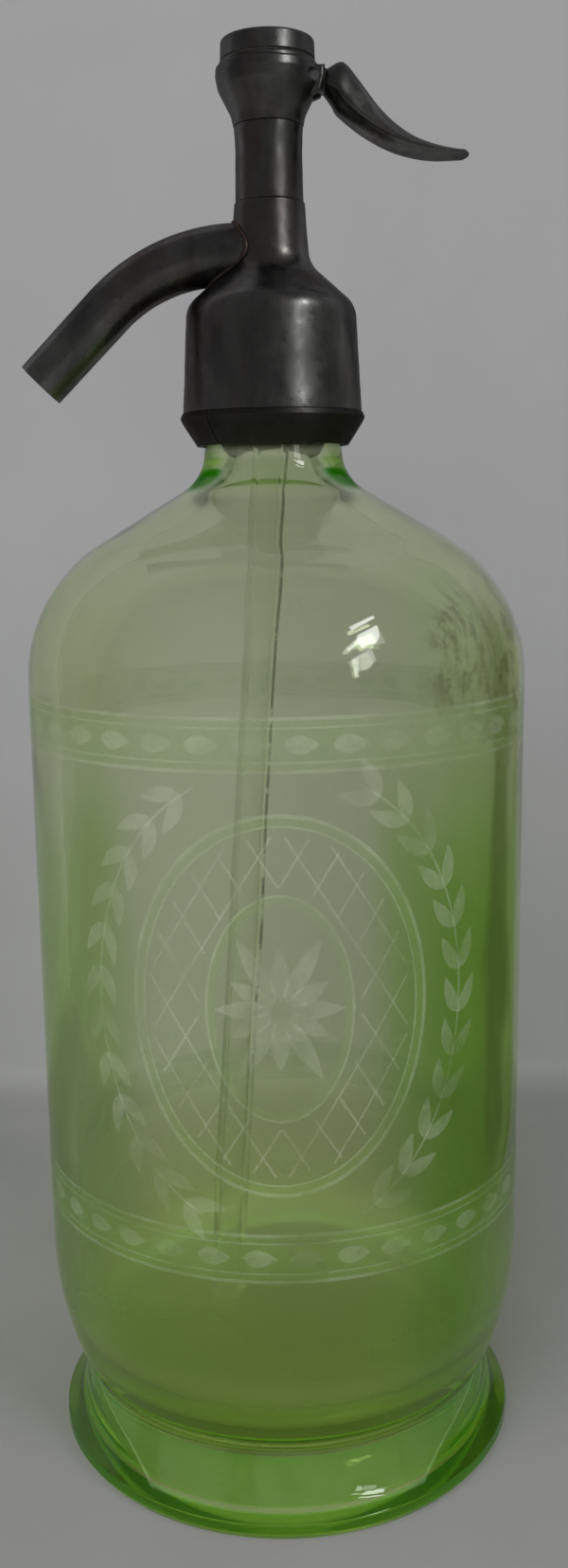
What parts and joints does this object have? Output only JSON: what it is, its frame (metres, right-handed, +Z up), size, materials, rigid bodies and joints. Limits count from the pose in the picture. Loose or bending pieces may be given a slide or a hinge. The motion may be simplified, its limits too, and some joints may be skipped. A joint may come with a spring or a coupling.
{
  "type": "soda siphon",
  "caption": "Glass soda siphon with a spreading foot, metal head, down-bent spout, dip tube, spring valve and thumb lever.",
  "frame": {"origin": "centre of the foot's resting face, on the bottle's axis", "axes": "+Z up the bottle's axis, -X towards the spout, +X towards the lever"},
  "size_m": [0.105, 0.105, 0.2956],
  "materials": {
    "green_glass": "clear pale green glass with an etched design, deeper green where it is thick",
    "clear_glass": "clear glass tube",
    "pewter": "worn cast pewter, dark patina, satin",
    "collar_metal": "near-black aged metal",
    "tinned_metal": "tinned, dull",
    "brass": "dull brass",
    "steel": "satin steel",
    "rubber": "matt rubber",
    "fibre": "pressed fibre, dark"
  },
  "bodies": {
    "root": {"glass_bottle": "green_glass", "collar_half_front": "collar_metal", "collar_half_rear": "collar_metal", "mouth_gasket": "rubber", "tube_ferrule": "tinned_metal", "tube_gasket": "rubber", "dip_tube": "clear_glass", "bell_housing": "pewter", "seat_washer": "fibre", "valve_seat": "brass", "spout": "pewter", "column_sleeve": "pewter", "spring_bush": "brass", "lever_housing": "pewter", "lever_pin": "steel", "cap_washer": "fibre", "top_cap": "pewter"},
    "plunger": {"plunger_rod": "brass", "plunger_yoke": "brass", "valve_holder": "brass", "valve_rubber": "rubber", "piston_packing": "rubber", "packing_nut": "brass", "plunger_spring": "steel"},
    "lever": {"lever": "pewter"}
  },
  "joints": [
    {"name": "plunger_lift", "type": "slide", "parent": "root", "child": "plunger", "axis": [0, 0, 1], "range_m": [0, 0.00188], "stiffness_N_per_m": 1500, "springref_m": -0.004, "deforming": ["plunger_spring"]},
    {"name": "lever_press", "type": "hinge", "parent": "root", "child": "lever", "pos_m": [0.009, 0, 0.2879], "axis": [0, 1, 0], "range_deg": [0, 12]}
  ],
  "couplings": [
    {"joint": "lever_press", "follows": "plunger_lift", "rad_per_m": 111.11}
  ]
}
